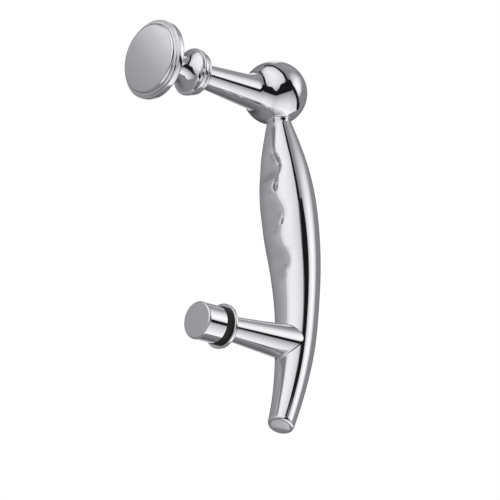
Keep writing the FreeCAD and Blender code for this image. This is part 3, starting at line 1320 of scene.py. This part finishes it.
PANELS = (
    Card(
        "left_wall",
        Layer.WALL,
        ((-0.7, 0.68), (-0.9, 0.4), (-0.98, 0.1), (-0.96, -0.28)),
        ((-0.2, 0.84), (-0.3, 0.5), (-0.3, 0.3), (-0.3, -0.2)),
        (0.28, 0.33, 0.38, 0.43, 0.48, 0.53, 0.6),
        (0.5, 1.0, 1.0, 0.8),
    ),
    Card(
        "upper_window",
        Layer.PANEL,
        ((-0.25, 0.8), (-0.42, 0.65), (-0.44, 0.45), (-0.41, 0.2), (-0.34, -0.04)),
        ((0.08, 0.76), (0.26, 0.58), (0.3, 0.42), (0.28, 0.3), (0.05, 0.02)),
        (0.8, 0.98, 0.97, 0.88, 0.72),
        (0.8, 1.0, 1.0, 0.95, 0.55),
    ),
    Card(
        "lower_window",
        Layer.PANEL,
        ((-0.14, -0.1), (0.2, -0.02), (0.45, 0.06), (0.66, 0.06)),
        ((-0.16, -0.5), (0.1, -0.6), (0.4, -0.68), (0.72, -0.48)),
        (0.32, 0.57, 0.82, 0.95, 1.08),
        (0.75, 1.0, 1.05, 0.75),
    ),
    Card(
        "right_window",
        Layer.PANEL,
        ((0.36, 0.62), (0.48, 0.4), (0.54, 0.25), (0.64, 0.1), (0.7, -0.06)),
        ((0.66, 0.68), (0.79, 0.5), (0.83, 0.3), (0.83, 0.1), (0.8, -0.08)),
        (0.6, 1.0, 1.15, 0.9, 0.28),
        (0.35, 0.8, 1.0, 0.95, 0.5),
    ),
)

FLAGS = (
    Card(
        "camera_gap",
        Layer.FLAG,
        ((0.34, 0.42), (0.33, 0.34), (0.18, 0.265), (0.13, 0.14), (0.04, 0.03), (-0.12, -0.05)),
        ((0.46, 0.42), (0.52, 0.34), (0.54, 0.27), (0.58, 0.16), (0.5, 0.07), (0.05, -0.09)),
        BLACK_CLOTH,
    ),
    Card(
        "upper_seam",
        Layer.FLAG,
        (
            *((-0.3, 0.835), (-0.2, 0.875), (-0.05, 0.85), (0.06, 0.79)),
            *((0.18, 0.71), (0.29, 0.61), (0.35, 0.51), (0.4, 0.42)),
        ),
        (
            *((-0.29, 0.8), (-0.2, 0.84), (-0.05, 0.81), (0.04, 0.75)),
            *((0.14, 0.67), (0.23, 0.575), (0.28, 0.49), (0.32, 0.42)),
        ),
        BLACK_CLOTH,
    ),
    Card(
        "right_seam",
        Layer.FLAG,
        (
            *((0.55, 0.27), (0.62, 0.16), (0.68, 0.05), (0.72, -0.06)),
            *((0.75, -0.16), (0.775, -0.26), (0.785, -0.36), (0.75, -0.48)),
        ),
        (
            *((0.5, 0.2), (0.55, 0.1), (0.6, 0.02), (0.64, -0.07)),
            *((0.675, -0.17), (0.69, -0.27), (0.69, -0.37), (0.69, -0.48)),
        ),
        BLACK_CLOTH,
    ),
)


@dataclass(frozen=True)
class Glow:
    """Patch of lighter or darker tent, centred where the handle's mirror shows it.

    The spread is in degrees across, and times the height upwards; a higher fall gives a crisper edge.
    """

    spot: Disc
    spread: float
    tone: float
    fall: float = 2.0
    height: float = 1.0


GLOWS = (
    Glow((-0.6, -0.74), 34.0, -0.14),
    Glow((0.1, -0.87), 20.0, -0.06),
    Glow((0.3, 0.86), 26.0, 0.1),
    Glow((0.0, 0.999), 26.0, -0.12, fall=4.0, height=2.0),
    Glow((0.0, 0.999), 9.0, 0.7, fall=8.0, height=5.0),
)


@dataclass(frozen=True)
class Reflector:
    """Small card close to one face of the handle, so that this face alone mirrors it.

    Its tones run over the face in a direction counted from the picture's right. Lengths are in
    millimetres.
    """

    name: str
    middle: tuple[float, float, float]
    normal: tuple[float, float, float]
    reach: float
    curve: float
    distance: float
    heading: float
    tones: tuple[float, ...]


REFLECTORS = (
    Reflector(
        "knob_card",
        (0.0, 33.9, 72.5),
        (0.0, 1.0, 0.0),
        reach=27.0,
        curve=301.0,
        distance=120.0,
        heading=40.0,
        tones=(0.34, 0.35, 0.38, 0.45, 0.64, 0.94, 1.15),
    ),
    Reflector(
        "tip_card",
        (0.0, -36.6, -121.0),
        (0.0, 0.449, -0.893),
        reach=7.0,
        curve=FLAT,
        distance=60.0,
        heading=20.0,
        tones=(0.4, 0.5, 0.75),
    ),
)


@dataclass(frozen=True)
class Lamp:
    """Soft round lamp that looks at the handle; lengths are in metres."""

    name: str
    place: tuple[float, float, float]
    width: float
    watts: float


LAMPS = (
    Lamp("key_lamp", (-1.2, 0.9, 1.4), 1.0, 18.0),
    Lamp("fill_lamp", (1.5, 1.2, 0.6), 1.2, 8.0),
)


@dataclass(frozen=True)
class Studio:
    """Grey tent with bright panels and black flags, a pale floor and soft lamps.

    Lengths are in metres.
    """

    camera: ProductCamera
    floor_height: float = -0.75
    floor_reach: float = 8.0
    floor_glow: float = 0.75
    floor_paint: str = "#F4F4F4"
    tent_segments: int = 128
    tent_tone: float = 0.28
    cool: str = "#F0F2FA"
    ambient: float = 0.6
    steps_along: int = 48
    steps_across: int = 24
    card_reach: float = 1.4

    def glow(self) -> bpy.types.Material:
        """Build the cards' material, which shines as bright as the tone painted on them.

        Returns:
            The card material.
        """
        material = empty_material("studio card, evenly lit")
        tree = material.node_tree
        tone = add_node(tree, "ShaderNodeAttribute", {"attribute_name": "tone"}).outputs["Fac"]
        # The mixing node has several sockets of one name: 0 is its share, 6 and 7 are its colours
        colour = add_node(
            tree,
            "ShaderNodeMix",
            {"data_type": "RGBA"},
            {0: tone, 6: linear(self.cool), 7: linear(WHITE)},
        )
        shine = {"Color": colour.outputs[2], "Strength": tone}
        light = add_node(tree, "ShaderNodeEmission", inputs=shine)
        add_node(tree, "ShaderNodeOutputMaterial", inputs={"Surface": light.outputs["Emission"]})
        return material

    def show_in_mirror_only(self, piece: bpy.types.Object) -> None:
        """Let a stage piece be seen only by polished surfaces.

        Args:
            piece: The piece.
        """
        piece.visible_camera = False
        piece.visible_diffuse = False
        piece.visible_transmission = False
        piece.visible_shadow = False

    def along(self, stops: tuple, share: float) -> np.ndarray:
        """Find a point or a tone between evenly spread stops.

        Args:
            stops: The stops.
            share: Share of the way from the first to the last.

        Returns:
            The point or tone.
        """
        values = np.array(stops)
        run = min(int(share * (len(values) - 1)), len(values) - 2)
        part = share * (len(values) - 1) - run
        return values[run] * (1 - part) + values[run + 1] * part

    def hang_card(self, card: Card, finish: bpy.types.Material) -> None:
        """Make a card and hang it in the tent.

        Args:
            card: The card.
            finish: Its material.
        """
        centre = Vector(self.camera.target)
        least_tone = 0.0 if card.layer is Layer.FLAG else self.tent_tone
        points = []
        tones = []
        for row in range(self.steps_along + 1):
            share = row / self.steps_along
            first = self.along(card.first_rail, share)
            second = self.along(card.second_rail, share)
            for column in range(self.steps_across + 1):
                across = column / self.steps_across
                spot = first * (1 - across) + second * across
                points.append(centre + self.camera.reflected(spot) * card.layer.value)
                tone = self.along(card.tones, across) * self.along(card.fades, share)
                tones.append(max(least_tone, tone))
        self.stretch(card.name, points, tones, finish)

    def stretch(
        self, name: str, points: list[Vector], tones: list[float], finish: bpy.types.Material
    ) -> None:
        """Stretch a card over rows of points.

        Args:
            name: The card's name.
            points: The points, row by row.
            tones: Their tones.
            finish: The card's material.
        """
        width = self.steps_across + 1
        faces = [
            (start, start + 1, start + width + 1, start + width)
            for row in range(self.steps_along)
            for start in range(row * width, row * width + self.steps_across)
        ]
        mesh = bpy.data.meshes.new(name)
        mesh.from_pydata(points, [], faces)
        mesh.attributes.new("tone", "FLOAT", "POINT").data.foreach_set("value", tones)
        mesh.materials.append(finish)
        piece = bpy.data.objects.new(name, mesh)
        bpy.context.scene.collection.objects.link(piece)
        self.show_in_mirror_only(piece)

    def hang_reflector(self, card: Reflector, finish: bpy.types.Material) -> None:
        """Make a card where one face of the handle mirrors it.

        Args:
            card: The card.
            finish: Its material.
        """
        right, _, back = self.camera.axes()
        normal = Vector(card.normal).normalized()
        level = (right - normal * right.dot(normal)).normalized()
        upright = normal.cross(level)
        turn = math.radians(card.heading)
        points = []
        tones = []
        for row in range(self.steps_along + 1):
            for column in range(self.steps_across + 1):
                across = 2 * column / self.steps_across - 1
                up = 2 * row / self.steps_along - 1
                arm = (level * across + upright * up) * card.reach
                facing = (normal + arm / card.curve).normalized()
                sight = facing * (2 * facing.dot(back)) - back
                points.append((Vector(card.middle) + arm + sight * card.distance) * MM)
                way = across * math.cos(turn) + up * math.sin(turn)
                share = (way / self.card_reach + 1) / 2
                tones.append(self.along(card.tones, min(1.0, max(0.0, share))))
        self.stretch(card.name, points, tones, finish)

    def raise_tent(self, finish: bpy.types.Material) -> None:
        """Make the round tent that encloses the handle and the cards.

        Args:
            finish: Its material.
        """
        bpy.ops.mesh.primitive_uv_sphere_add(
            segments=self.tent_segments,
            ring_count=self.tent_segments // 2,
            radius=Layer.TENT.value,
            location=self.camera.target,
        )
        tent = bpy.context.object
        tent.name = "tent"
        tones = np.full(len(tent.data.vertices), self.tent_tone)
        sights = np.array([vertex.co.normalized() for vertex in tent.data.vertices])
        top = self.camera.axes()[1]
        for glow in GLOWS:
            middle = self.camera.reflected(glow.spot)
            upright = (top - middle * top.dot(middle)).normalized()
            # Angles from the middle, and their parts upwards and across
            gaps = np.degrees(np.arccos(np.clip(sights @ middle, -1, 1)))
            lifts = np.degrees(np.arcsin(np.clip(sights @ upright, -1, 1)))
            across = np.sqrt(np.maximum(gaps**2 - lifts**2, 0.0))
            reach = np.hypot(across, lifts / glow.height)
            tones += glow.tone * np.exp(-((reach / glow.spread) ** glow.fall))
        tent.data.attributes.new("tone", "FLOAT", "POINT").data.foreach_set("value", tones)
        tent.data.materials.append(finish)
        self.show_in_mirror_only(tent)

    def lay_floor(self) -> None:
        """Make the plain pale floor."""
        bpy.ops.mesh.primitive_plane_add(size=2 * self.floor_reach, location=(0, 0, self.floor_height))
        floor = bpy.context.object
        floor.name = "floor"
        material = empty_material("floor, matt white paint")
        tree = material.node_tree
        paint = add_node(tree, "ShaderNodeBsdfDiffuse", inputs={"Color": linear(self.floor_paint)})
        # Where the floor is looked at, a share of plain white hides its uneven light
        white = add_node(tree, "ShaderNodeEmission", inputs={"Strength": 1.0})
        share = add_node(
            tree,
            "ShaderNodeMapRange",
            inputs={"Value": self.seen_directly(tree), "To Max": self.floor_glow},
        )
        shader = add_node(
            tree,
            "ShaderNodeMixShader",
            inputs={0: share.outputs["Result"], 1: paint.outputs["BSDF"], 2: white.outputs["Emission"]},
        )
        add_node(tree, "ShaderNodeOutputMaterial", inputs={"Surface": shader.outputs["Shader"]})
        floor.data.materials.append(material)
        floor.visible_glossy = False

    def seen_directly(self, tree: bpy.types.NodeTree) -> bpy.types.NodeSocket:
        """Tell the rays of the camera, of mirrors and of glass from those that only carry light.

        Args:
            tree: The node tree to add the test to.

        Returns:
            A socket that is 1 for those rays and 0 for others.
        """
        path = add_node(tree, "ShaderNodeLightPath").outputs
        seen = path["Is Camera Ray"]
        for kind in ("Is Glossy Ray", "Is Transmission Ray"):
            either = add_node(tree, "ShaderNodeMath", {"operation": "MAXIMUM"}, {0: seen, 1: path[kind]})
            seen = either.outputs[0]
        return seen

    def light_world(self) -> None:
        """Make a white background for the camera and the mirrors, and a plain ambient light."""
        world = bpy.data.worlds.new("white studio")
        bpy.context.scene.world = world
        world.use_nodes = True
        tree = world.node_tree
        tree.nodes.clear()
        level = add_node(
            tree,
            "ShaderNodeMapRange",
            inputs={"Value": self.seen_directly(tree), "To Min": self.ambient, "To Max": 1.0},
        )
        sky = add_node(
            tree,
            "ShaderNodeBackground",
            inputs={"Color": linear(WHITE), "Strength": level.outputs["Result"]},
        )
        add_node(tree, "ShaderNodeOutputWorld", inputs={"Surface": sky.outputs["Background"]})

    def hang_lamp(self, lamp: Lamp) -> None:
        """Hang a lamp.

        Args:
            lamp: The lamp.
        """
        data = bpy.data.lights.new(lamp.name, "AREA")
        data.shape = "DISK"
        data.size = lamp.width
        data.energy = lamp.watts
        light = bpy.data.objects.new(lamp.name, data)
        light.location = lamp.place
        sight = Vector(self.camera.target) - light.location
        light.rotation_euler = sight.to_track_quat("-Z", "Y").to_euler()
        light.visible_glossy = False
        bpy.context.scene.collection.objects.link(light)

    def build(self) -> None:
        """Set up the whole studio."""
        finish = self.glow()
        self.raise_tent(finish)
        for card in PANELS + FLAGS:
            self.hang_card(card, finish)
        for reflector in REFLECTORS:
            self.hang_reflector(reflector, finish)
        self.lay_floor()
        self.light_world()
        for lamp in LAMPS:
            self.hang_lamp(lamp)
        bpy.context.scene.view_settings.view_transform = "Standard"


def main() -> None:
    """Build and dress the handle, and set up its studio."""
    casting = HandleCasting()
    casting.build(CAST_CHROME.material())
    upper, lower = casting.axes
    chrome, steel, rubber = (finish.material() for finish in (TURNED_CHROME, STUD_STEEL, GASKET_RUBBER))
    lathe = Lathe()
    turned = {
        PullKnob("pull_knob", "knob_chrome", upper): chrome,
        EndCap("end_cap", "knob_chrome", lower): chrome,
        Stud("upper_stud", "stud_steel", upper): steel,
        Stud("lower_stud", "stud_steel", lower, end=10.9): steel,
        Gasket("upper_gasket", "gasket_rubber", upper): rubber,
        Gasket("lower_gasket", "gasket_rubber", lower, thickness=3.9, radius=10.15): rubber,
    }
    for piece, finish in turned.items():
        piece.build(lathe, finish)
    camera = ProductCamera()
    camera.build()
    Studio(camera).build()


if __name__ == "__main__":
    main()
